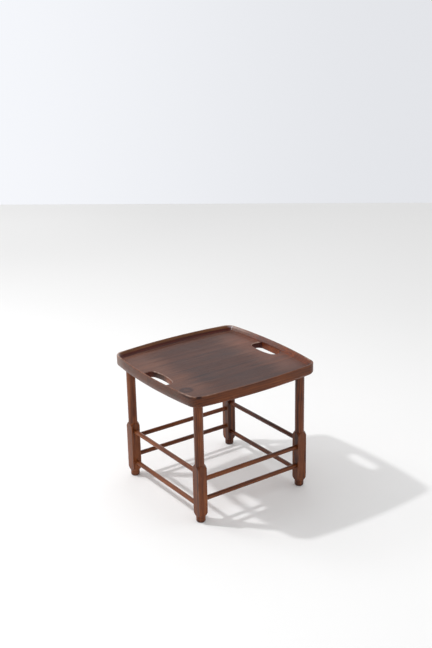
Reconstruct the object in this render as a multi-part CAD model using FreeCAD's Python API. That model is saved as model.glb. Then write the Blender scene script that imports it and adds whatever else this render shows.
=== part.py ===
import FreeCAD, Part
import math
import os

from FreeCAD import Vector

# Low stool: a dished wooden tray that lifts off four turned legs, which two tiers of round rails join.
# Millimetres. The origin is on the floor at the centre, +Z is up and the front is -Y.
# The hand slots of the tray are at its left (-X) and right (+X) ends.

# Tray outline and height
TRAY_WIDTH = 471.0
TRAY_DEPTH = 471.0
SIDE_BOW = 16.2
TRAY_CORNER_RADIUS = 34.0
UNDERSIDE_Z = 375.0
FLOOR_THICKNESS = 20.0
RECESS_DEPTH = 14.7

# Rim of the tray, whose inner wall leans outwards and meets the floor in a cove
RIM_WIDTH = 4.2
RIM_OUTER_RADIUS = 2.3
RIM_INNER_RADIUS = 2.6
UNDERSIDE_EDGE_RADIUS = 9.0
WALL_LEAN = 13.6
COVE_RADIUS = 14.0

# Hand slots, each between the floor and a bar of the rim
RIM_BAR_WIDTH = 16.0
SLOT_LENGTH = 116.0
SLOT_WIDTH = 44.0
SLOT_INNER_BOW = 9.0
SLOT_CORNER_RADIUS = 18.0
SLOT_EDGE_RADIUS = 4.0

# Boards of the tray, glued edge to edge, from the front to the back
BOARD_NAMES = ("tray_board_front", "tray_board_middle_front", "tray_board_middle_back", "tray_board_back")

# Legs, each turned from one square stick
LEG_INSET = 50.5
TURNED_DIAMETER = 28.0
BLOCK_STEP = 1.2
BLOCK_EDGE_RADIUS = 1.2
BLOCK_HEIGHT = 130.5
FOOT_HEIGHT = 18.5
FOOT_EDGE_RADIUS = 4.0
SHOULDER_HEIGHT = 17.0

# Spigot at the top of each leg, loose in a blind socket under the tray
SPIGOT_DIAMETER = 18.0
SPIGOT_CHAMFER = 1.0
SPIGOT_SIDE_CLEARANCE = 0.3
SPIGOT_TOP_CLEARANCE = 1.0
SOCKET_ROOF = 7.5

# Rails, with tenons glued into blind mortises
RAIL_DIAMETER = 14.0
TENON_DIAMETER = 10.0
TENON_LENGTH = 20.0
TENON_SIDE_CLEARANCE = 0.05
TENON_END_CLEARANCE = 1.0
SIDE_RAIL_FROM_BLOCK_END = 12.5
UPPER_RAIL_STEP = 21.6
LOWER_RAIL_STEP = 20.5

# Values that follow from the driving dimensions
HALF_WIDTH = TRAY_WIDTH / 2
HALF_DEPTH = TRAY_DEPTH / 2
FLOOR_Z = UNDERSIDE_Z + FLOOR_THICKNESS
RIM_TOP_Z = FLOOR_Z + RECESS_DEPTH
RIM_BAND_WIDTH = 0.8 * TRAY_CORNER_RADIUS
SLOT_OUTER_X = HALF_WIDTH - RIM_BAR_WIDTH
SLOT_INNER_X = SLOT_OUTER_X - SLOT_WIDTH
SOCKET_DEPTH = FLOOR_THICKNESS - SOCKET_ROOF
SPIGOT_HEIGHT = SOCKET_DEPTH - SPIGOT_TOP_CLEARANCE
LEG_X = HALF_WIDTH - LEG_INSET
LEG_Y = HALF_DEPTH - LEG_INSET
BLOCK_WIDTH = TURNED_DIAMETER + 2 * BLOCK_STEP
BLOCK_BOTTOM = FOOT_HEIGHT + SHOULDER_HEIGHT
BLOCK_TOP = BLOCK_BOTTOM + BLOCK_HEIGHT
SIDE_UPPER_RAIL_Z = BLOCK_TOP - SIDE_RAIL_FROM_BLOCK_END
SIDE_LOWER_RAIL_Z = BLOCK_BOTTOM + SIDE_RAIL_FROM_BLOCK_END
FRONT_UPPER_RAIL_Z = SIDE_UPPER_RAIL_Z - UPPER_RAIL_STEP
FRONT_LOWER_RAIL_Z = SIDE_LOWER_RAIL_Z + LOWER_RAIL_STEP

# How far a cutting body runs past the faces that it opens
OVERCUT = 10.0
# Slack for telling whether two places are the same
TOLERANCE = 1e-4


def line(start, end):
    return Part.LineSegment(start, end).toShape()


def arc(start, middle, end):
    return Part.Arc(start, middle, end).toShape()


def prism_between(edges, height):
    """Upright prism on a closed outline."""
    return Part.Face(Part.Wire(edges)).extrude(Vector(0, 0, height))


def rising_edges(body):
    """Edges that run up a body, not round its top or bottom."""
    return [edge for edge in body.Edges if edge.BoundBox.ZLength > TOLERANCE]


def is_upright(face):
    """Whether a face stands upright at its middle."""
    first_u, last_u, first_v, last_v = face.ParameterRange
    return abs(face.normalAt((first_u + last_u) / 2, (first_v + last_v) / 2).z) < TOLERANCE


def edges_of_walls(solid, chosen):
    """Edges between an upright face and one that lies or slopes, where the edge's box is a chosen one."""
    found = []
    for edge in solid.Edges:
        if not chosen(edge.BoundBox):
            continue
        faces = solid.ancestorsOfType(edge, Part.Face)
        if sorted(is_upright(face) for face in faces) == [False, True]:
            found.append(edge)
    return found


def side_radius(half_length):
    """Radius of a bowed side of the tray, from half of its length between the sharp corners."""
    chord = half_length - SIDE_BOW
    return (chord ** 2 + SIDE_BOW ** 2) / (2 * SIDE_BOW)


def outline_arcs():
    """Arcs of the tray's outline, in order round it: centre, radius, first angle and last angle."""
    radius_x = side_radius(HALF_DEPTH)
    radius_y = side_radius(HALF_WIDTH)
    # The right side's arc has its centre on the X axis and the back side's has it on the Y axis.
    center_x = HALF_WIDTH - radius_x
    center_y = HALF_DEPTH - radius_y
    # The corner's centre is nearer to both of those centres than their arcs are, by its own radius.
    reach_x = radius_x - TRAY_CORNER_RADIUS
    reach_y = radius_y - TRAY_CORNER_RADIUS
    apart = math.hypot(center_x, center_y)
    along = (reach_x ** 2 - reach_y ** 2 + apart ** 2) / (2 * apart)
    across = math.sqrt(reach_x ** 2 - along ** 2)
    corner_x = center_x + (-along * center_x - across * center_y) / apart
    corner_y = (along * center_y - across * center_x) / apart
    low = math.atan2(corner_y, corner_x - center_x)
    high = math.atan2(corner_y - center_y, corner_x)
    half = math.pi
    corner = TRAY_CORNER_RADIUS
    return [
        (Vector(center_x, 0, 0), radius_x, -low, low),
        (Vector(corner_x, corner_y, 0), corner, low, high),
        (Vector(0, center_y, 0), radius_y, high, half - high),
        (Vector(-corner_x, corner_y, 0), corner, half - high, half - low),
        (Vector(-center_x, 0, 0), radius_x, half - low, half + low),
        (Vector(-corner_x, -corner_y, 0), corner, half + low, half + high),
        (Vector(0, -center_y, 0), radius_y, half + high, 2 * half - high),
        (Vector(corner_x, -corner_y, 0), corner, 2 * half - high, 2 * half - low),
    ]


def rounded_outline(points, radii):
    """Edges of a closed polygon whose corners are rounded with the given radii."""
    pieces = []
    for number, point in enumerate(points):
        before = (points[number - 1] - point).normalize()
        after = (points[(number + 1) % len(points)] - point).normalize()
        radius = radii[number]
        half_angle = before.getAngle(after) / 2
        setback = radius / math.tan(half_angle)
        middle = (before + after).normalize() * (radius / math.sin(half_angle) - radius)
        pieces.append((point + before * setback, point + middle, point + after * setback))
    edges = []
    for number, (first, middle, last) in enumerate(pieces):
        if radii[number] > 0:
            edges.append(arc(first, middle, last))
        edges.append(line(last, pieces[(number + 1) % len(pieces)][0]))
    return edges


def rim_section():
    """Corners of the section through the tray's rim, as inset from the outline, height and corner radius."""
    outer = min(RIM_OUTER_RADIUS, 0.56 * RIM_WIDTH)
    wall_slope = math.atan2(RECESS_DEPTH, WALL_LEAN)
    inner = min(RIM_INNER_RADIUS, 0.9 * (RIM_WIDTH - outer) / math.tan(wall_slope / 2))
    under = min(UNDERSIDE_EDGE_RADIUS, 0.9 * (RIM_TOP_Z - UNDERSIDE_Z - outer))
    wall_foot = RIM_WIDTH + WALL_LEAN
    cove = min(
        COVE_RADIUS,
        0.9 * (RIM_BAND_WIDTH - wall_foot) / math.tan(wall_slope / 2),
        0.7 * RECESS_DEPTH / math.tan(wall_slope / 2),
    )
    return [
        (RIM_BAND_WIDTH, UNDERSIDE_Z, 0),
        (0, UNDERSIDE_Z, under),
        (0, RIM_TOP_Z, outer),
        (RIM_WIDTH, RIM_TOP_Z, inner),
        (wall_foot, FLOOR_Z, cove),
        (RIM_BAND_WIDTH, FLOOR_Z, 0),
    ]


def rim_band(center, radius, first, last):
    """Part of the tray's rim along one arc of its outline."""
    outwards = Vector(math.cos(first), math.sin(first), 0)
    points = []
    radii = []
    for inset, z, corner_radius in rim_section():
        points.append(center + outwards * (radius - inset) + Vector(0, 0, z))
        radii.append(corner_radius)
    section = Part.Face(Part.Wire(rounded_outline(points, radii)))
    return section.revolve(center, Vector(0, 0, 1), math.degrees(last - first))


def dished_blank():
    """The tray without slots and sockets: a level plate inside a band of rim that runs all the way round."""
    bands = []
    inner_edges = []
    for center, radius, first, last in outline_arcs():
        bands.append(rim_band(center, radius, first, last))
        places = []
        for angle in (first, (first + last) / 2, last):
            outwards = Vector(math.cos(angle), math.sin(angle), 0)
            places.append(center + outwards * (radius - RIM_BAND_WIDTH) + Vector(0, 0, UNDERSIDE_Z))
        inner_edges.append(arc(*places))
    plate = prism_between(inner_edges, FLOOR_THICKNESS)
    return plate.multiFuse(bands).removeSplitter()


def hand_slot(side):
    """Body of one hand slot: straight beside the rim and bowed towards the middle of the tray."""
    half = SLOT_LENGTH / 2
    shoulder = SLOT_INNER_X + SLOT_INNER_BOW
    bottom = UNDERSIDE_Z - OVERCUT
    outer_front = Vector(side * SLOT_OUTER_X, -half, bottom)
    outer_back = Vector(side * SLOT_OUTER_X, half, bottom)
    inner_back = Vector(side * shoulder, half, bottom)
    inner_middle = Vector(side * SLOT_INNER_X, 0, bottom)
    inner_front = Vector(side * shoulder, -half, bottom)
    edges = [
        line(outer_front, outer_back),
        line(outer_back, inner_back),
        arc(inner_back, inner_middle, inner_front),
        line(inner_front, outer_front),
    ]
    prism = prism_between(edges, RIM_TOP_Z + OVERCUT - bottom)
    corner = min(SLOT_CORNER_RADIUS, 0.48 * (SLOT_WIDTH - SLOT_INNER_BOW))
    return prism.makeFillet(corner, rising_edges(prism))


def in_slot(side):
    """Test for an edge that lies along the wall of one hand slot."""
    low, high = sorted((side * SLOT_INNER_X, side * SLOT_OUTER_X))

    def chosen(box):
        across = low - TOLERANCE < box.XMin and box.XMax < high + TOLERANCE
        along = max(-box.YMin, box.YMax) < SLOT_LENGTH / 2 + TOLERANCE
        return across and along

    return chosen


def whole_tray():
    """The finished tray as one body, before it is parted into its boards."""
    tray = dished_blank()
    slot_edge = min(SLOT_EDGE_RADIUS, 0.4 * FLOOR_THICKNESS)
    for side in (-1, 1):
        tray = tray.cut(hand_slot(side))
        tray = tray.makeFillet(slot_edge, edges_of_walls(tray, in_slot(side)))
    radius = SPIGOT_DIAMETER / 2 + SPIGOT_SIDE_CLEARANCE
    for x in (-LEG_X, LEG_X):
        for y in (-LEG_Y, LEG_Y):
            socket = Part.makeCylinder(radius, SOCKET_DEPTH + OVERCUT, Vector(x, y, UNDERSIDE_Z - OVERCUT))
            tray = tray.cut(socket)
    return tray


def tray_boards():
    """The tray parted into its boards: name and solid of each."""
    tray = whole_tray()
    width = TRAY_DEPTH / len(BOARD_NAMES)
    boards = []
    for number, name in enumerate(BOARD_NAMES):
        front = -HALF_DEPTH + number * width
        slab = Part.makeBox(TRAY_WIDTH, width, RIM_TOP_Z, Vector(-HALF_WIDTH, front, 0))
        boards.append((name, tray.common(slab)))
    return boards


def shoulder(round_z, block_z):
    """Arc of a turned shoulder in the XZ plane, from the round to the block's corner, upright at the block."""
    narrow = TURNED_DIAMETER / 2
    wide = BLOCK_WIDTH / math.sqrt(2)
    step = wide - narrow
    height = round_z - block_z
    radius = (step ** 2 + height ** 2) / (2 * step)
    half_turn = math.asin(abs(height) / radius) / 2
    middle_x = wide - radius * (1 - math.cos(half_turn))
    middle_z = block_z + math.copysign(radius * math.sin(half_turn), height)
    return Vector(narrow, 0, round_z), Vector(middle_x, 0, middle_z), Vector(wide, 0, block_z)


def turned_leg():
    """One leg on the Z axis: foot, block with turned shoulders, post and spigot."""
    round_radius = TURNED_DIAMETER / 2
    spigot_radius = SPIGOT_DIAMETER / 2
    spigot_top = UNDERSIDE_Z + SPIGOT_HEIGHT
    low_round, low_middle, low_block = shoulder(FOOT_HEIGHT, BLOCK_BOTTOM)
    high_round, high_middle, high_block = shoulder(BLOCK_TOP + SHOULDER_HEIGHT, BLOCK_TOP)
    bend = FOOT_EDGE_RADIUS * (1 - math.sqrt(0.5))
    sole_edge = Vector(round_radius - FOOT_EDGE_RADIUS, 0, 0)
    foot_bend = Vector(round_radius - bend, 0, bend)
    foot_side = Vector(round_radius, 0, FOOT_EDGE_RADIUS)
    seat = Vector(round_radius, 0, UNDERSIDE_Z)
    spigot_foot = Vector(spigot_radius, 0, UNDERSIDE_Z)
    spigot_side = Vector(spigot_radius, 0, spigot_top - SPIGOT_CHAMFER)
    spigot_tip = Vector(spigot_radius - SPIGOT_CHAMFER, 0, spigot_top)
    axis_top = Vector(0, 0, spigot_top)
    axis_bottom = Vector(0, 0, 0)
    edges = [
        line(axis_bottom, sole_edge),
        arc(sole_edge, foot_bend, foot_side),
        line(foot_side, low_round),
        arc(low_round, low_middle, low_block),
        line(low_block, high_block),
        arc(high_block, high_middle, high_round),
        line(high_round, seat),
        line(seat, spigot_foot),
        line(spigot_foot, spigot_side),
        line(spigot_side, spigot_tip),
        line(spigot_tip, axis_top),
        line(axis_top, axis_bottom),
    ]
    turned = Part.Face(Part.Wire(edges)).revolve(Vector(0, 0, 0), Vector(0, 0, 1), 360)
    half = BLOCK_WIDTH / 2
    stick = Part.makeBox(BLOCK_WIDTH, BLOCK_WIDTH, spigot_top, Vector(-half, -half, 0))
    stick = stick.makeFillet(BLOCK_EDGE_RADIUS, rising_edges(stick))
    return turned.common(stick)


def mortise(towards, z):
    """Body of the hole for a tenon, in a leg on the Z axis, on the face that looks towards the rail."""
    mouth = towards * (BLOCK_WIDTH / 2 + OVERCUT)
    mouth.z = z
    length = OVERCUT + TENON_LENGTH + TENON_END_CLEARANCE
    return Part.makeCylinder(TENON_DIAMETER / 2 + TENON_SIDE_CLEARANCE, length, mouth, -towards)


def leg(side_x, side_y):
    """One leg in its place, with a mortise for each rail that reaches it."""
    solid = turned_leg()
    for z in (FRONT_UPPER_RAIL_Z, FRONT_LOWER_RAIL_Z):
        solid = solid.cut(mortise(Vector(-side_x, 0, 0), z))
    for z in (SIDE_UPPER_RAIL_Z, SIDE_LOWER_RAIL_Z):
        solid = solid.cut(mortise(Vector(0, -side_y, 0), z))
    solid.translate(Vector(side_x * LEG_X, side_y * LEG_Y, 0))
    return solid


def rail(leg_place):
    """Rod along X between two legs at plus and minus one place: shoulders on the blocks, tenons beyond them."""
    seat = leg_place - BLOCK_WIDTH / 2
    tip = seat + TENON_LENGTH
    along = Vector(1, 0, 0)
    rod = Part.makeCylinder(RAIL_DIAMETER / 2, 2 * seat, Vector(-seat, 0, 0), along)
    tenons = Part.makeCylinder(TENON_DIAMETER / 2, 2 * tip, Vector(-tip, 0, 0), along)
    return rod.fuse(tenons).removeSplitter()


def front_back_rail(side_y, z):
    solid = rail(LEG_X)
    solid.translate(Vector(0, side_y * LEG_Y, z))
    return solid


def side_rail(side_x, z):
    solid = rail(LEG_Y)
    solid.rotate(Vector(0, 0, 0), Vector(0, 0, 1), 90)
    solid.translate(Vector(side_x * LEG_X, 0, z))
    return solid


def stool_pieces():
    """Name and solid of every piece."""
    pieces = tray_boards()
    for side_y, depth_word in ((-1, "front"), (1, "back")):
        for side_x, width_word in ((-1, "left"), (1, "right")):
            pieces.append((f"leg_{depth_word}_{width_word}", leg(side_x, side_y)))
    for side_y, word in ((-1, "front"), (1, "back")):
        pieces.append((f"rail_{word}_upper", front_back_rail(side_y, FRONT_UPPER_RAIL_Z)))
        pieces.append((f"rail_{word}_lower", front_back_rail(side_y, FRONT_LOWER_RAIL_Z)))
    for side_x, word in ((-1, "left"), (1, "right")):
        pieces.append((f"rail_{word}_upper", side_rail(side_x, SIDE_UPPER_RAIL_Z)))
        pieces.append((f"rail_{word}_lower", side_rail(side_x, SIDE_LOWER_RAIL_Z)))
    return pieces


os.makedirs("parts", exist_ok=True)
for piece_name, piece in stool_pieces():
    solids = len(piece.Solids)
    print(f"{piece_name}: valid {piece.isValid()}, solids {solids}, volume {piece.Volume / 1000:.1f} cm3")
    piece.exportStep(f"parts/{piece_name}.step")
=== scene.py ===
import math
from types import SimpleNamespace

import bpy
from mathutils import Matrix, Vector


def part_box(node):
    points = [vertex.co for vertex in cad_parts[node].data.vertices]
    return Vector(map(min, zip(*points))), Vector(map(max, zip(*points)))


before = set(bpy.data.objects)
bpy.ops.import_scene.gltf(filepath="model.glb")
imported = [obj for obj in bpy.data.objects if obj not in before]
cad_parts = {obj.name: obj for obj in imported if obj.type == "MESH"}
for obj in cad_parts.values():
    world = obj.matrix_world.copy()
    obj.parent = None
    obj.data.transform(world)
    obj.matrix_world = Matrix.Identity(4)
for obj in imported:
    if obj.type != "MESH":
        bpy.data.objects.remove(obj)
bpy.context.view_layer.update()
scene = bpy.context.scene

# Sizes of the object that the materials refer to, in metres
LEG_PLACE = 0.185
BLOCK_HALF = 0.0152
RIM_TOP_Z = 0.4097
FLOOR_Z = 0.395
ABOVE_FLOOR_Z = FLOOR_Z + 0.0008
UNDERSIDE_Z = 0.375
BOARD_WIDTH = 0.11775
SLOT_REACH_Y = 0.064
SLOT_START_X = 0.170
SLOT_MIDDLE_X = 0.197
SLOT_END_X = 0.222


# Node helpers

def feed(tree, socket, value):
    """Links a socket to another, or sets its value."""
    if isinstance(value, bpy.types.NodeSocket):
        tree.links.new(value, socket)
    else:
        socket.default_value = value


def math_node(tree, operation, first, second=0.0, third=0.0):
    node = tree.nodes.new("ShaderNodeMath")
    node.operation = operation
    for socket, value in zip(node.inputs, (first, second, third)):
        feed(tree, socket, value)
    return node.outputs[0]


def absolute(tree, value):
    return math_node(tree, "ABSOLUTE", value)


def inverse(tree, value, share=1.0):
    """One less a share of the value."""
    return math_node(tree, "MULTIPLY_ADD", value, -share, 1.0)


def product(tree, first, *others):
    """All the values multiplied."""
    for value in others:
        first = math_node(tree, "MULTIPLY", first, value)
    return first


def add_up(tree, *terms):
    """Sum of pairs of value and weight."""
    total = 0.0
    for value, weight in terms:
        total = math_node(tree, "MULTIPLY_ADD", value, weight, total)
    return total


def vector_node(tree, operation, first, second=(0.0, 0.0, 0.0)):
    node = tree.nodes.new("ShaderNodeVectorMath")
    node.operation = operation
    feed(tree, node.inputs[0], first)
    feed(tree, node.inputs[1], second)
    gives_number = operation in ("LENGTH", "DOT_PRODUCT")
    return node.outputs["Value" if gives_number else "Vector"]


def split(tree, vector):
    """The three numbers of a vector."""
    node = tree.nodes.new("ShaderNodeSeparateXYZ")
    tree.links.new(vector, node.inputs[0])
    return node.outputs


def ease(tree, value, low, high, start=0.0, end=1.0):
    """Goes smoothly from start to end as the value goes from low to high."""
    node = tree.nodes.new("ShaderNodeMapRange")
    node.interpolation_type = "SMOOTHSTEP"
    feed(tree, node.inputs["Value"], value)
    for name, number in zip(("From Min", "From Max", "To Min", "To Max"), (low, high, start, end)):
        node.inputs[name].default_value = number
    return node.outputs[0]


def fade(tree, value, low, high, start=1.0):
    """Goes smoothly from start to nothing as the value goes from low to high."""
    return ease(tree, value, low, high, start, 0.0)


def noise(tree, place, stretch, detail=2.0, rough=0.5):
    """Noise whose features are 1 / stretch metres long along each axis."""
    node = tree.nodes.new("ShaderNodeTexNoise")
    feed(tree, node.inputs["Vector"], vector_node(tree, "MULTIPLY", place, stretch))
    node.inputs["Scale"].default_value = 1.0
    node.inputs["Detail"].default_value = detail
    node.inputs["Roughness"].default_value = rough
    return node.outputs[0]


# Colour sockets of a mix node
COLOR_A = 6
COLOR_B = 7
COLOR_RESULT = 2


def mix(tree, share, first, second, blend="MIX"):
    node = tree.nodes.new("ShaderNodeMix")
    node.data_type = "RGBA"
    node.blend_type = blend
    feed(tree, node.inputs[0], share)
    feed(tree, node.inputs[COLOR_A], first)
    feed(tree, node.inputs[COLOR_B], second)
    return node.outputs[COLOR_RESULT]


def ramp(tree, value, stops):
    node = tree.nodes.new("ShaderNodeValToRGB")
    feed(tree, node.inputs[0], value)
    elements = node.color_ramp.elements
    while len(elements) < len(stops):
        elements.new(0.5)
    for element, (place, color) in zip(elements, stops):
        element.position = place
        element.color = (*color, 1.0)
    return node.outputs[0]


# Wood: its tones from the darkest to the lightest streaks, and the tone that the streaks vary round
RED_BROWN = (
    (0.05, (0.042, 0.010, 0.004)),
    (0.40, (0.155, 0.040, 0.009)),
    (0.70, (0.255, 0.082, 0.026)),
    (1.00, (0.350, 0.150, 0.070)),
)
MEAN_STREAKS = 1.12
MEAN_TONE = 0.39
# Features to the metre, along the grain and in the two directions across it
SWAY = (2.2, 7.0, 7.0)
RIPPLE = (9.0, 60.0, 60.0)
STRIPES = (1.1, 34.0, 34.0)
FLECKS = (18.0, 130.0, 130.0)
FIBRES = (9.0, 380.0, 380.0)
PORES = (38.0, 1150.0, 1150.0)
CLOUDS = (7.0, 11.0, 11.0)
# How far the growth rings are bent, in metres, and the part of a ring that is dark late wood
SWAY_REACH = 0.030
RIPPLE_REACH = 0.0035
LATE_WOOD_START = (0.25, 0.90)
LATE_WOOD_END = (0.92, 1.0)
PORE_LEVEL = (0.60, 0.70)
END_GRAIN_FACING = (0.55, 0.95)
# Axes in the order along the grain and across it
AXIS_ORDER = {"X": (0, 1, 2), "Y": (1, 0, 2), "Z": (2, 0, 1)}
# Relief and coat of oil
END_GRAIN_ROUGHER = 0.10
ROUGHNESS_LEVEL = (0.08, 0.30)
RELIEF_STRENGTH = 0.35
RELIEF_DEPTH = 0.0004
COAT_ROUGHNESS = 0.16
COAT_IOR = 1.40
# Grain and finish of each kind of piece
TRAY_GRAIN = dict(ring=0.0075, fineness=1.0, contrast=0.6)
LEG_GRAIN = dict(ring=0.0048, fineness=2.0, contrast=0.85)
RAIL_GRAIN = dict(ring=0.0040, fineness=2.0, contrast=1.0)
TRAY_FINISH = dict(rough_low=0.40, rough_high=0.58, ior=1.25, coat=0.24)
LEG_FINISH = dict(rough_low=0.34, rough_high=0.50, ior=1.28, coat=0.28)
RAIL_FINISH = dict(rough_low=0.32, rough_high=0.46, ior=1.30, coat=0.28)


def wood(name, axis, middle, pith, shift, lift, ring, fineness, contrast):
    """Oiled wood as a solid texture, with the grain along one axis.

    The middle is the place across the grain that the pith is measured from, and the shift picks another
    stretch of the same tree for each piece. The ring is the width of a year's growth, and the lift makes
    a piece lighter.
    """
    material = bpy.data.materials.new(name)
    material.use_nodes = True
    tree = material.node_tree
    whole = tree.nodes.new("ShaderNodeTexCoord").outputs["Object"]
    spot = split(tree, whole)
    order = AXIS_ORDER[axis]
    along, across, up = (spot[number] for number in order)
    across = math_node(tree, "SUBTRACT", across, middle[0])
    up = math_node(tree, "SUBTRACT", up, middle[1])
    joined = tree.nodes.new("ShaderNodeCombineXYZ")
    for socket, value in zip(joined.inputs, (along, across, up)):
        tree.links.new(value, socket)
    place = vector_node(tree, "ADD", joined.outputs[0], shift)

    # Growth rings round the pith, bent by slow changes along the grain
    sway = noise(tree, place, SWAY, detail=1.0)
    ripple = noise(tree, place, RIPPLE)
    from_pith_a = math_node(tree, "SUBTRACT", across, pith[0])
    from_pith_b = math_node(tree, "SUBTRACT", up, pith[1])
    square = add_up(tree, (from_pith_a, from_pith_a), (from_pith_b, from_pith_b))
    radius = math_node(tree, "SQRT", square)
    radius = add_up(tree, (radius, 1.0), (sway, SWAY_REACH), (ripple, RIPPLE_REACH))
    turn = math_node(tree, "FRACT", math_node(tree, "DIVIDE", radius, ring))
    late = product(tree, ease(tree, turn, *LATE_WOOD_START), fade(tree, turn, *LATE_WOOD_END))

    # Broad stripes, fibres and pores
    stripes = tuple(fineness * number for number in STRIPES)
    stripes = noise(tree, place, stripes, detail=3.0, rough=0.55)
    flecks = noise(tree, place, FLECKS, rough=0.6)
    fibres = noise(tree, place, FIBRES, rough=0.6)
    pores = ease(tree, noise(tree, place, PORES, detail=1.0), *PORE_LEVEL)
    clouds = noise(tree, place, CLOUDS)

    tone = add_up(
        tree, (stripes, 0.95), (late, -0.22), (flecks, 0.55), (fibres, 0.45), (clouds, 0.45), (pores, -0.22)
    )
    tone = math_node(tree, "MULTIPLY_ADD", tone, contrast, lift + MEAN_TONE - MEAN_STREAKS * contrast)
    color = ramp(tree, tone, RED_BROWN)

    # Faces that cut across the grain show end grain
    normal = split(tree, tree.nodes.new("ShaderNodeNewGeometry").outputs["Normal"])
    end_grain = ease(tree, absolute(tree, normal[order[0]]), *END_GRAIN_FACING)
    return SimpleNamespace(
        material=material, tree=tree, whole=whole, x=spot[0], y=spot[1], z=spot[2], place=place, color=color,
        late=late, fibres=fibres, pores=pores, clouds=clouds, normal=normal, end_grain=end_grain,
    )


def tint(piece, share, by):
    """Multiplies the piece's colour by another, as far as the share says."""
    piece.color = mix(piece.tree, share, piece.color, (*by, 1.0), "MULTIPLY")


def cover(piece, share, by):
    """Lays another colour over the piece's, as far as the share says."""
    piece.color = mix(piece.tree, share, piece.color, (*by, 1.0))


def finish_wood(piece, rough_low, rough_high, ior, coat):
    """Joins colour, roughness and relief to the shader. End grain is the dullest."""
    tree = piece.tree
    rough = add_up(tree, (piece.clouds, 0.20), (piece.pores, 0.12), (piece.fibres, 0.10))
    rough = ease(tree, rough, *ROUGHNESS_LEVEL, rough_low, rough_high)
    rough = math_node(tree, "MULTIPLY_ADD", piece.end_grain, END_GRAIN_ROUGHER, rough)
    height = add_up(tree, (piece.pores, -0.6), (piece.fibres, 0.5), (piece.late, 0.25))
    bump = tree.nodes.new("ShaderNodeBump")
    bump.inputs["Strength"].default_value = RELIEF_STRENGTH
    bump.inputs["Distance"].default_value = RELIEF_DEPTH
    tree.links.new(height, bump.inputs["Height"])
    shader = tree.nodes["Principled BSDF"]
    tree.links.new(bump.outputs[0], shader.inputs["Normal"])
    tree.links.new(piece.color, shader.inputs["Base Color"])
    tree.links.new(rough, shader.inputs["Roughness"])
    shader.inputs["IOR"].default_value = ior
    shader.inputs["Coat Weight"].default_value = coat
    shader.inputs["Coat Roughness"].default_value = COAT_ROUGHNESS
    shader.inputs["Coat IOR"].default_value = COAT_IOR


# Tray: a pair says where a change starts and ends, in metres along an axis or by how a face is turned

# Hand slots: their walls are lightened as painted light, and darkened towards the back as painted shade
SLOT_PAINTED_LIGHT_TINT = (1.48, 1.28, 1.06)
SLOT_INNER_BACK_Y = (-0.022, 0.012)
SLOT_INNER_BACK_SHADE_TINT = (0.25, 0.28, 0.30)
SLOT_OUTER_BACK_Y = (-0.005, 0.030)
SLOT_OUTER_BACK_SHADE_TINT = (0.58, 0.48, 0.42)


def mark_slots(board):
    """Finds the walls of the hand slots."""
    tree = board.tree
    board.off_x = absolute(tree, board.x)
    board.off_y = absolute(tree, board.y)
    board.beside_slot = math_node(tree, "LESS_THAN", board.off_y, SLOT_REACH_Y)
    board.up_to_floor = math_node(tree, "LESS_THAN", board.z, ABOVE_FLOOR_Z)
    before_rim = math_node(tree, "LESS_THAN", board.off_x, SLOT_END_X)
    board.slot_wall = product(tree, board.end_grain, board.beside_slot, board.up_to_floor, before_rim)


def paint_slots(board):
    """The walls of the slots are made lighter as painted light, and darker towards the back as painted
    shade.
    """
    tree = board.tree
    tint(board, board.slot_wall, SLOT_PAINTED_LIGHT_TINT)
    inner = math_node(tree, "LESS_THAN", board.off_x, SLOT_MIDDLE_X)
    inner_back_shade = product(tree, board.slot_wall, inner, ease(tree, board.y, *SLOT_INNER_BACK_Y))
    tint(board, inner_back_shade, SLOT_INNER_BACK_SHADE_TINT)
    outer = math_node(tree, "GREATER_THAN", board.off_x, SLOT_MIDDLE_X)
    outer_back_shade = product(tree, board.slot_wall, outer, ease(tree, board.y, *SLOT_OUTER_BACK_Y))
    tint(board, outer_back_shade, SLOT_OUTER_BACK_SHADE_TINT)


# Left and right ends of the tray, which show end grain
SHORT_WALL_FACING = (-0.60, -0.30)
END_FACE_FACING = (0.15, 0.45)
END_BLOTCHES = (10.0, 28.0, 80.0)
BLOTCH_LEVEL = (0.38, 0.62)
DULL_BROWN = (0.066, 0.031, 0.024)
DULL_GREY = (0.036, 0.037, 0.034)
DULL_SHARE = 0.55
WALL_BRIGHTER = 0.65
WALL_FOOT_Z = (FLOOR_Z + 0.0070, FLOOR_Z + 0.0110)
WALL_FOOT_BRIGHTER = 0.8
WALL_FOOT_TINT = (0.78, 0.72, 0.70)
WALL_FRONT_Y = (-0.08, 0.0)
WALL_FRONT_TINT = (1.40, 1.10, 0.70)
WALL_SLOT_START_Y = (-0.03, 0.02)
WALL_SLOT_END_Y = (0.08, 0.15)
WALL_SLOT_TINT = (0.84, 0.56, 0.40)
# Painted highlight on the head of the short inner walls near the back corners
WALL_HEAD_HIGHLIGHT_Z = (FLOOR_Z + 0.0080, FLOOR_Z + 0.0115)
WALL_HEAD_HIGHLIGHT_Y = (0.06, 0.19)
WALL_HEAD_HIGHLIGHT_SHARE = 0.45
WALL_HEAD_HIGHLIGHT_COLOR = (0.42, 0.32, 0.29)
# Painted highlight on the end grain towards the back corners
BACK_END_HIGHLIGHT_Y = (0.13, 0.21)
BACK_END_HIGHLIGHT_SHARE = 0.55
BACK_END_HIGHLIGHT_COLOR = (0.42, 0.32, 0.27)
# Painted reflection that greys the outer end faces, most at their foot
END_FACE_REFLECTION_Y = (-0.215, -0.150)
END_FACE_REFLECTION_Z = (UNDERSIDE_Z + 0.006, UNDERSIDE_Z + 0.020)
END_FACE_REFLECTION_SHARE = 0.26
END_FACE_REFLECTION_TOP = 0.15
END_FACE_REFLECTION_COLOR = (0.30, 0.25, 0.24)


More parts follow.
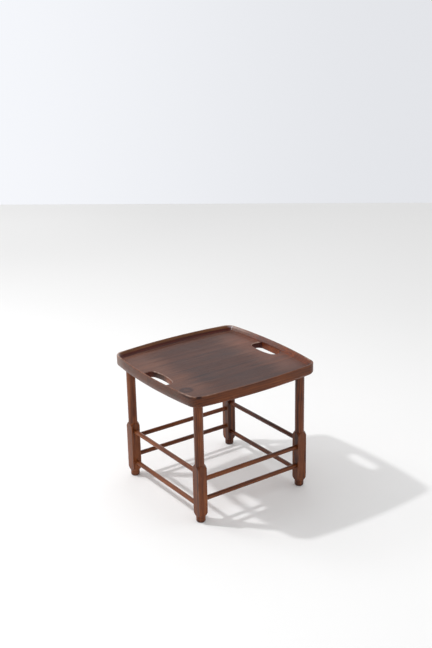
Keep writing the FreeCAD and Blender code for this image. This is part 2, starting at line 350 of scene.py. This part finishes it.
def paint_ends(board):
    """End grain is dull and dark. The short inner walls keep more of their red, most near the floor."""
    tree = board.tree
    y = board.y
    z = board.z
    facing_out = product(tree, board.normal[0], math_node(tree, "SIGN", board.x))
    over_floor = math_node(tree, "GREATER_THAN", z, ABOVE_FLOOR_Z)
    short_wall = product(tree, fade(tree, facing_out, *SHORT_WALL_FACING), over_floor)
    wall_foot = product(tree, short_wall, fade(tree, z, *WALL_FOOT_Z))
    dull = product(tree, math_node(tree, "SUBTRACT", board.end_grain, board.slot_wall), DULL_SHARE)
    dull = product(tree, dull, inverse(tree, wall_foot, WALL_FOOT_BRIGHTER))
    blotches = ease(tree, noise(tree, board.place, END_BLOTCHES), *BLOTCH_LEVEL)
    dull_color = mix(tree, blotches, (*DULL_BROWN, 1.0), (*DULL_GREY, 1.0))
    dulled = product(tree, dull, inverse(tree, short_wall, WALL_BRIGHTER))
    board.color = mix(tree, dulled, board.color, dull_color)
    tint(board, wall_foot, WALL_FOOT_TINT)
    tint(board, product(tree, short_wall, fade(tree, y, *WALL_FRONT_Y)), WALL_FRONT_TINT)
    by_slot = product(tree, short_wall, ease(tree, y, *WALL_SLOT_START_Y), fade(tree, y, *WALL_SLOT_END_Y))
    tint(board, by_slot, WALL_SLOT_TINT)
    # Painted highlights make the head of the short inner walls and the end grain at the back paler, and a
    # painted reflection makes the outer end faces paler, most at their foot
    wall_head_highlight = product(tree, short_wall, ease(tree, z, *WALL_HEAD_HIGHLIGHT_Z, 0.0, WALL_HEAD_HIGHLIGHT_SHARE))
    cover(board, product(tree, wall_head_highlight, ease(tree, y, *WALL_HEAD_HIGHLIGHT_Y)), WALL_HEAD_HIGHLIGHT_COLOR)
    cover(board, product(tree, dull, ease(tree, y, *BACK_END_HIGHLIGHT_Y, 0.0, BACK_END_HIGHLIGHT_SHARE)), BACK_END_HIGHLIGHT_COLOR)
    end_face_reflection = ease(tree, facing_out, *END_FACE_FACING, 0.0, END_FACE_REFLECTION_SHARE)
    face_foot = ease(tree, z, *END_FACE_REFLECTION_Z, 1.0, END_FACE_REFLECTION_TOP)
    cover(board, product(tree, end_face_reflection, ease(tree, y, *END_FACE_REFLECTION_Y), face_foot), END_FACE_REFLECTION_COLOR)


# Level floor of the dish
LEVEL_FACING = (0.80, 0.97)
DISH_Z = (FLOOR_Z + 0.0005, FLOOR_Z + 0.006)
DISH_BOTTOM_Z = UNDERSIDE_Z + 0.004
DISH_TINT = (0.86, 1.02, 1.70)
RAGGED = (5.0, 42.0, 42.0)
RAGGED_REACH = 0.10
MIDDLE_PART_X = (0.130, 0.215)
CALM_ENDS = 0.50
CALM_MIDDLE = 0.10
CALM_COLOR = (0.113, 0.052, 0.036)
FRONT_CORNER_Y = (-0.195, -0.140)
FRONT_CORNER_TINT = (0.70, 0.62, 0.55)
# Painted shade on the dish floor at the back right corner, by the foot of the wall
BACK_CORNER_SHADE_X = (0.085, 0.135)
BACK_CORNER_SHADE_Y = (0.130, 0.185)
BACK_CORNER_SHADE_TINT = (0.74, 0.83, 0.88)
# The dish floor is redder towards its right end
REDDER_RIGHT_X = (0.10, 0.18)
REDDER_RIGHT_TINT = (1.14, 1.00, 0.94)
MIDDLE_EDGE_Y = (0.145, 0.185)
MIDDLE_EDGE_SHARE = 0.84
MIDDLE_TINT = (0.47, 0.40, 0.40)


def paint_dish(board):
    """The floor of the dish has gone grey and dark with use, least towards its ends."""
    tree = board.tree
    over_bottom = math_node(tree, "GREATER_THAN", board.z, DISH_BOTTOM_Z)
    level = ease(tree, board.normal[2], *LEVEL_FACING)
    dish = product(tree, level, fade(tree, board.z, *DISH_Z), over_bottom)
    tint(board, dish, DISH_TINT)
    ragged = noise(tree, board.place, RAGGED, detail=3.0, rough=0.6)
    ragged = math_node(tree, "MULTIPLY_ADD", ragged, RAGGED_REACH, board.off_x)
    middle_part = fade(tree, ragged, *MIDDLE_PART_X)
    # The streaks are weaker at the ends
    calm = math_node(tree, "MULTIPLY_ADD", middle_part, CALM_MIDDLE - CALM_ENDS, CALM_ENDS)
    cover(board, product(tree, dish, calm), CALM_COLOR)
    front_corner = product(tree, dish, fade(tree, board.y, *FRONT_CORNER_Y), inverse(tree, middle_part))
    tint(board, front_corner, FRONT_CORNER_TINT)
    # Painted shade at the back right corner of the dish floor
    at_back = ease(tree, board.y, *BACK_CORNER_SHADE_Y)
    at_right = ease(tree, board.x, *BACK_CORNER_SHADE_X)
    tint(board, product(tree, dish, at_back, at_right), BACK_CORNER_SHADE_TINT)
    tint(board, product(tree, dish, ease(tree, board.x, *REDDER_RIGHT_X)), REDDER_RIGHT_TINT)
    up_to_edge = ease(tree, board.off_y, *MIDDLE_EDGE_Y, 1.0, MIDDLE_EDGE_SHARE)
    tint(board, product(tree, dish, middle_part, up_to_edge), MIDDLE_TINT)


# Front and back sides of the tray
LONG_WALL_FACING = (-0.30, -0.06)
LONG_WALL_BOTTOM_Z = UNDERSIDE_Z + 0.002
UNDER_CREST_Z = (RIM_TOP_Z - 0.0090, RIM_TOP_Z - 0.0050)
LONG_WALL_TOP_TINT = (0.80, 1.06, 1.40)
LONG_WALL_SHADE_TINT = (0.40, 0.15, 0.04)
LONG_FACE_FACING = (0.35, 0.75)
LONG_FACE_TINT = (0.85, 0.84, 0.80)


def paint_long_sides(board):
    """The long inner walls are darker below the crest, as painted shade, and greyer near the crest."""
    tree = board.tree
    facing_out = product(tree, board.normal[1], math_node(tree, "SIGN", board.y))
    over_bottom = math_node(tree, "GREATER_THAN", board.z, LONG_WALL_BOTTOM_Z)
    long_wall = product(tree, fade(tree, facing_out, *LONG_WALL_FACING), over_bottom)
    under_crest = fade(tree, board.z, *UNDER_CREST_Z)
    tint(board, product(tree, long_wall, inverse(tree, under_crest)), LONG_WALL_TOP_TINT)
    # Painted shade on the long inner walls below the crest
    tint(board, product(tree, long_wall, under_crest), LONG_WALL_SHADE_TINT)
    tint(board, ease(tree, facing_out, *LONG_FACE_FACING), LONG_FACE_TINT)


# Edges that hands rub, and painted highlights on them
CREST_Z = (RIM_TOP_Z - 0.0030, RIM_TOP_Z - 0.0004)
CORNER_REACH = (0.36, 0.42)
CREST_SHARE = 0.15
NO_CREST_HIGHLIGHT_X = (-0.02, 0.05)
NO_CREST_HIGHLIGHT_Y = (-0.200, -0.185)
NO_CREST_HIGHLIGHT_SHARE = 0.85
EDGE_START_FACING = (0.25, 0.5)
EDGE_END_FACING = (0.93, 0.995)
NO_SLOT_HIGHLIGHT_X = (-0.01, 0.01)
NO_SLOT_HIGHLIGHT_Y = (-0.045, -0.030)
NO_SLOT_HIGHLIGHT_SHARE = 0.9
WEAR_AND_HIGHLIGHT_PATCHES = (22.0, 60.0, 60.0)
WEAR_AND_HIGHLIGHT_LEVEL = (0.35, 0.60)
WEAR_AND_HIGHLIGHT_SHARES = (0.20, 0.90)
WEAR_AND_HIGHLIGHT_COLOR = (0.36, 0.25, 0.20)


def paint_rubbed_edges_and_highlights(board):
    """Crest corners and rounded slot edges are paler: painted highlight, partly wear."""
    tree = board.tree
    upward = board.normal[2]
    from_middle = math_node(tree, "ADD", board.off_x, board.off_y)
    at_corner = ease(tree, from_middle, *CORNER_REACH, CREST_SHARE, 1.0)
    no_crest_highlight = product(
        tree, ease(tree, board.x, *NO_CREST_HIGHLIGHT_X), fade(tree, board.y, *NO_CREST_HIGHLIGHT_Y, NO_CREST_HIGHLIGHT_SHARE)
    )
    crest = product(tree, ease(tree, board.z, *CREST_Z), at_corner, inverse(tree, no_crest_highlight))
    beyond = math_node(tree, "GREATER_THAN", board.off_x, SLOT_START_X)
    bent = product(tree, ease(tree, upward, *EDGE_START_FACING), fade(tree, upward, *EDGE_END_FACING))
    no_slot_highlight = product(tree, fade(tree, board.y, *NO_SLOT_HIGHLIGHT_Y, NO_SLOT_HIGHLIGHT_SHARE), ease(tree, board.x, *NO_SLOT_HIGHLIGHT_X))
    slot_edge = product(tree, board.beside_slot, beyond, bent, board.up_to_floor, inverse(tree, no_slot_highlight))
    wear_and_highlight = math_node(tree, "MAXIMUM", crest, slot_edge)
    patchy = ease(tree, noise(tree, board.place, WEAR_AND_HIGHLIGHT_PATCHES, detail=3.0), *WEAR_AND_HIGHLIGHT_LEVEL, *WEAR_AND_HIGHLIGHT_SHARES)
    # Paler crest corners and slot edges: painted highlight, partly wear
    cover(board, product(tree, wear_and_highlight, patchy), WEAR_AND_HIGHLIGHT_COLOR)


# Glue lines, ring mark and dark patches
GLUE_REACH = (0.0002, 0.0008)
GLUE_SHARE = 0.75
GLUE_COLOR = (0.020, 0.008, 0.005)
OUTERMOST_SEAM_Y = 1.5 * BOARD_WIDTH
RING_PLACE = (-0.185, -0.128, FLOOR_Z)
RING_RADIUS = 0.019
RING_IN = 0.004
RING_OUT = 0.006
RING_MIDDLE_SHARE = 0.45
RING_TINT = (0.42, 0.38, 0.48)
DARK_PATCH_COLOR = (0.026, 0.005, 0.002)
DARK_PATCH_CORE = 0.35
# Middle, reach along each axis and strength of each dark patch at the front left corner
DARK_PATCHES = (
    ((-0.204, -0.219, 0.4072), (0.014, 0.008, 0.0062), 1.0),
    ((-0.223, -0.186, 0.4042), (0.010, 0.032, 0.0044), 0.85),
)


def paint_glue_lines(board, front):
    """A dark line where the board meets another."""
    tree = board.tree
    for seam in (front, front + BOARD_WIDTH):
        if abs(seam) < OUTERMOST_SEAM_Y:
            away = absolute(tree, math_node(tree, "SUBTRACT", board.y, seam))
            cover(board, fade(tree, away, *GLUE_REACH, GLUE_SHARE), GLUE_COLOR)


def paint_ring(board):
    """Faint grey ring that a glass has left on the floor of the dish."""
    tree = board.tree
    away = vector_node(tree, "LENGTH", vector_node(tree, "SUBTRACT", board.whole, RING_PLACE))
    wide = fade(tree, away, RING_RADIUS - RING_IN, RING_RADIUS + RING_OUT)
    hollow = ease(tree, away, 0.0, RING_RADIUS - RING_IN, RING_MIDDLE_SHARE, 1.0)
    tint(board, product(tree, wide, hollow), RING_TINT)


def paint_dark_patch(board, middle, reach, share):
    """Dark patch, an ellipsoid in the wood."""
    tree = board.tree
    offset = vector_node(tree, "SUBTRACT", board.whole, middle)
    away = vector_node(tree, "LENGTH", vector_node(tree, "DIVIDE", offset, reach))
    cover(board, fade(tree, away, DARK_PATCH_CORE, 1.0, share), DARK_PATCH_COLOR)


def board_material(name, front, shift, pith, lift, dark_patches):
    """Tray board whose front edge is at the given place."""
    middle = (front + BOARD_WIDTH / 2, (FLOOR_Z + UNDERSIDE_Z) / 2)
    board = wood(name, "X", middle, pith, shift, lift, **TRAY_GRAIN)
    mark_slots(board)
    paint_ends(board)
    paint_slots(board)
    paint_dish(board)
    paint_long_sides(board)
    paint_rubbed_edges_and_highlights(board)
    paint_glue_lines(board, front)
    if abs(middle[0] - RING_PLACE[1]) < BOARD_WIDTH:
        paint_ring(board)
    for dark_patch in dark_patches:
        paint_dark_patch(board, *dark_patch)
    finish_wood(board, **TRAY_FINISH)
    return board.material


# Arrises of the legs, rubbed and with painted highlights, and scuffed feet
ARRIS_REACH = (BLOCK_HALF - 0.0016, BLOCK_HALF - 0.0004)
ARRIS_PATCHES = (30.0, 80.0, 80.0)
ARRIS_LEVEL = (0.35, 0.65)
ARRIS_SHARES = (0.2, 0.8)
ARRIS_WEAR_AND_HIGHLIGHT_COLOR = (0.22, 0.105, 0.062)
SCUFF_Z = (0.0, 0.012)
SCUFF_SHARE = 0.6
SCUFF_COLOR = (0.030, 0.014, 0.010)


def leg_material(name, x_place, y_place, shift, pith, lift):
    """Turned leg: lighter on its block's arrises, from wear and painted highlight, darker at the foot."""
    leg = wood(name, "Z", (x_place, y_place), pith, shift, lift, **LEG_GRAIN)
    tree = leg.tree
    off_x = absolute(tree, math_node(tree, "SUBTRACT", leg.x, x_place))
    off_y = absolute(tree, math_node(tree, "SUBTRACT", leg.y, y_place))
    arris = ease(tree, math_node(tree, "MINIMUM", off_x, off_y), *ARRIS_REACH)
    patchy = ease(tree, noise(tree, leg.place, ARRIS_PATCHES, detail=3.0), *ARRIS_LEVEL, *ARRIS_SHARES)
    cover(leg, product(tree, arris, patchy), ARRIS_WEAR_AND_HIGHLIGHT_COLOR)
    cover(leg, fade(tree, leg.z, *SCUFF_Z, SCUFF_SHARE), SCUFF_COLOR)
    finish_wood(leg, **LEG_FINISH)
    return leg.material


def rail_material(name, axis, middle, shift, pith, lift):
    """Round rail."""
    rail = wood(name, axis, middle, pith, shift, lift, **RAIL_GRAIN)
    finish_wood(rail, **RAIL_FINISH)
    return rail.material


# Wood of each piece: start and step of its stretch of the tree and of its pith, and how light it is
BOARDS = ("tray_board_front", "tray_board_middle_front", "tray_board_middle_back", "tray_board_back")
BOARD_SHIFT = ((0.6, 0.3, 0.0), (3.1, 1.7, 0.9))
BOARD_PITHS = ((-0.064, -0.060), (-0.030, -0.070), (0.035, -0.060), (0.066, -0.075))
BOARD_LIFTS = (-0.07, -0.07, 0.02, 0.0)
LEG_SHIFT = ((20.0, 0.0, 0.0), (2.3, 1.1, 0.4))
LEG_PITH = ((0.022, -0.020), (-0.011, 0.012))
# The right legs lie in the tray's shadow and are made darker: painted shade
LEG_LIFTS_AND_SHADE = (-0.04, -0.13, 0.0, -0.20)
RAIL_SHIFT = ((40.0, 0.0, 0.0), (1.9, 0.7, 0.3))
RAIL_PITH = ((0.010, 0.014), (-0.003, 0.0))
# Side of the stool, axis of its rails, sign of its place and how light they are
# The left rails are lighter, as painted light, and the back and right rails darker, as painted shade
RAIL_SIDES = (
    ("front", "X", -1, -0.03),
    ("back", "X", 1, -0.15),
    ("left", "Y", -1, 0.06),
    ("right", "Y", 1, -0.16),
)


def advance(start, step, count):
    """Numbers that grow by a step for each piece."""
    return tuple(first + count * more for first, more in zip(start, step))


for number, board in enumerate(BOARDS):
    front = (number - len(BOARDS) // 2) * BOARD_WIDTH
    dark_patches = DARK_PATCHES if board == "tray_board_front" else ()
    made = board_material(
        board + "_wood", front, advance(*BOARD_SHIFT, number), BOARD_PITHS[number], BOARD_LIFTS[number],
        dark_patches,
    )
    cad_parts[board].material_slots[0].material = made

for number, (y_word, y_side) in enumerate((("front", -1), ("back", 1))):
    for step, (x_word, x_side) in enumerate((("left", -1), ("right", 1))):
        leg = f"leg_{y_word}_{x_word}"
        count = 2 * number + step
        made = leg_material(
            leg + "_wood", x_side * LEG_PLACE, y_side * LEG_PLACE, advance(*LEG_SHIFT, count),
            advance(*LEG_PITH, count), LEG_LIFTS_AND_SHADE[count],
        )
        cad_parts[leg].material_slots[0].material = made

for number, (word, axis, side, lift) in enumerate(RAIL_SIDES):
    for step, height in enumerate(("upper", "lower")):
        rail = f"rail_{word}_{height}"
        low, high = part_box(rail)
        count = 2 * number + step
        middle = (side * LEG_PLACE, (low.z + high.z) / 2)
        made = rail_material(
            rail + "_wood", axis, middle, advance(*RAIL_SHIFT, count), advance(*RAIL_PITH, count), lift
        )
        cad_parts[rail].material_slots[0].material = made


# Stage: a pale floor that ends far behind, where the white of the studio starts
WALL_LEFT = Vector((1.075, 4.089, 0.0))
WALL_RIGHT = Vector((3.329, 2.270, 0.0))
WALL_RUN = (WALL_RIGHT - WALL_LEFT).normalized()
FROM_WALL = Vector((WALL_RUN.y, -WALL_RUN.x, 0.0))
FLOOR_BESIDE = 9.0
FLOOR_DEPTH = 14.0
# Painted shade on the floor by its distance from the far end, and less of it on the strip at the far left
FLOOR_TONE_REACH = (1.9, 4.2)
FLOOR_FAR_TONE = 0.83
FLOOR_NEAR_TONE = 0.93
FLOOR_LEFT_RUN = (0.0, 1.4)
FLOOR_LEFT_REACH = (0.4, 1.4)
FLOOR_LEFT_LESS_SHADE = 0.07
FLOOR_ROUGHNESS = 0.9
FLOOR_GLOSS = 0.1


def floor_paint_and_shade():
    """Matt paint, with painted shade that makes it darker far behind."""
    material = bpy.data.materials.new("floor_paint_and_shade")
    material.use_nodes = True
    tree = material.node_tree
    shader = tree.nodes["Principled BSDF"]
    spot = tree.nodes.new("ShaderNodeTexCoord").outputs["Object"]
    from_end = vector_node(tree, "DOT_PRODUCT", spot, FROM_WALL)
    from_end = math_node(tree, "SUBTRACT", from_end, WALL_LEFT.dot(FROM_WALL))
    from_left = vector_node(tree, "DOT_PRODUCT", spot, WALL_RUN)
    from_left = math_node(tree, "SUBTRACT", from_left, WALL_LEFT.dot(WALL_RUN))
    tone = ease(tree, from_end, *FLOOR_TONE_REACH, FLOOR_FAR_TONE, FLOOR_NEAR_TONE)
    far_left = product(tree, fade(tree, from_left, *FLOOR_LEFT_RUN), fade(tree, from_end, *FLOOR_LEFT_REACH))
    tone = math_node(tree, "MULTIPLY_ADD", far_left, FLOOR_LEFT_LESS_SHADE, tone)
    tree.links.new(tone, shader.inputs["Base Color"])
    shader.inputs["Roughness"].default_value = FLOOR_ROUGHNESS
    shader.inputs["Specular IOR Level"].default_value = FLOOR_GLOSS
    return material


def sheet(name, corners, material):
    mesh = bpy.data.meshes.new(name)
    mesh.from_pydata(corners, [], [(0, 1, 2, 3)])
    mesh.materials.append(material)
    made = bpy.data.objects.new(name, mesh)
    scene.collection.objects.link(made)


far_left_corner = WALL_LEFT - FLOOR_BESIDE * WALL_RUN
far_right_corner = WALL_RIGHT + FLOOR_BESIDE * WALL_RUN
nearer = FLOOR_DEPTH * FROM_WALL
corners = [far_left_corner, far_left_corner + nearer, far_right_corner + nearer, far_right_corner]
sheet("floor", corners, floor_paint_and_shade())

# Lamps high at the back left, a small one and a soft one: name, place, size and power
LAMPS = (
    ("lamp", (-1.62, 1.40, 3.2), 0.18, 52.0),
    ("soft_lamp", (-1.45, 2.55, 2.8), 1.0, 16.0),
)
LAMP_AIM = Vector((0.0, 0.0, 0.2))


def hang_lamp(name, place, size, energy):
    """Round lamp that shines at the stool."""
    light = bpy.data.lights.new(name, "AREA")
    light.shape = "DISK"
    light.size = size
    light.energy = energy
    made = bpy.data.objects.new(name, light)
    made.location = place
    made.rotation_euler = (LAMP_AIM - made.location).to_track_quat("-Z", "Y").to_euler()
    scene.collection.objects.link(made)


for lamp in LAMPS:
    hang_lamp(*lamp)

# Soft light from all round, weaker from the viewer's side and from above
VIEWER_SIDE = (-0.80, -0.60, 0.0)
RIGHT_SIDE = (0.82, -0.57, 0.0)
SKY_TURN = (-0.6, 0.6)
SKY_BEHIND = 1.18
SKY_BEFORE = 0.78
SKY_RISE = (-0.1, 1.0)
SKY_LOW = 1.45
SKY_HIGH = 0.60
SKY_COLOR = (1.0, 1.0, 1.0, 1.0)
STUDIO_COLOR = (0.93, 0.945, 0.985, 1.0)
STUDIO_TURN = (-0.28, 0.22)
STUDIO_RIGHT = 0.83
GLEAM_TURN = (-0.4, 0.5)
GLEAM_BEHIND = 0.90
GLEAM_BEFORE = 0.25

world = bpy.data.worlds.new("studio")
world.use_nodes = True
scene.world = world
sky = world.node_tree
direction = sky.nodes.new("ShaderNodeTexCoord").outputs["Generated"]
toward_viewer = vector_node(sky, "DOT_PRODUCT", direction, VIEWER_SIDE)
toward_right = vector_node(sky, "DOT_PRODUCT", direction, RIGHT_SIDE)
rise = split(sky, direction)[2]
strength = product(
    sky,
    ease(sky, toward_viewer, *SKY_TURN, SKY_BEHIND, SKY_BEFORE),
    ease(sky, rise, *SKY_RISE, SKY_LOW, SKY_HIGH),
)
background = sky.nodes["Background"]
background.inputs["Color"].default_value = SKY_COLOR
sky.links.new(strength, background.inputs["Strength"])

# The viewer sees the white of the studio instead, darker to the right, and the gloss sees it weaker
rays = sky.nodes.new("ShaderNodeLightPath").outputs
in_view = rays["Is Camera Ray"]
shown = product(sky, ease(sky, toward_right, *STUDIO_TURN, 1.0, STUDIO_RIGHT), in_view)
gleam = ease(sky, toward_viewer, *GLEAM_TURN, GLEAM_BEHIND, GLEAM_BEFORE)
seen = sky.nodes.new("ShaderNodeBackground")
seen.inputs["Color"].default_value = STUDIO_COLOR
sky.links.new(math_node(sky, "MULTIPLY_ADD", gleam, inverse(sky, in_view), shown), seen.inputs["Strength"])
either = math_node(sky, "MAXIMUM", in_view, rays["Is Glossy Ray"])
either = math_node(sky, "MAXIMUM", either, rays["Is Transmission Ray"])
choice = sky.nodes.new("ShaderNodeMixShader")
sky.links.new(either, choice.inputs[0])
sky.links.new(background.outputs[0], choice.inputs[1])
sky.links.new(seen.outputs[0], choice.inputs[2])
sky.links.new(choice.outputs[0], sky.nodes["World Output"].inputs["Surface"])

# Camera where the photograph was taken
YAW, PITCH, ROLL = (math.radians(angle) for angle in (-34.805, 19.396, -1.181))
CAMERA_PLACE = Vector((-1.6968, -2.4573, 1.5699))
CAMERA_LENS = 58.756
CAMERA_SENSOR = 36.0
CAMERA_REACH = 100.0
back = Vector((math.sin(YAW) * math.cos(PITCH), -math.cos(YAW) * math.cos(PITCH), math.sin(PITCH)))
level_right = (-back).cross(Vector((0.0, 0.0, 1.0))).normalized()
level_up = level_right.cross(-back)
right = math.cos(ROLL) * level_right + math.sin(ROLL) * level_up
up = -math.sin(ROLL) * level_right + math.cos(ROLL) * level_up
camera = bpy.data.cameras.new("camera")
camera.sensor_width = CAMERA_SENSOR
camera.lens = CAMERA_LENS
camera.clip_end = CAMERA_REACH
camera_object = bpy.data.objects.new("camera", camera)
pose = Matrix((right, up, back)).transposed().to_4x4()
pose.translation = CAMERA_PLACE
camera_object.matrix_world = pose
scene.collection.objects.link(camera_object)
scene.camera = camera_object
scene.view_settings.view_transform = "Standard"
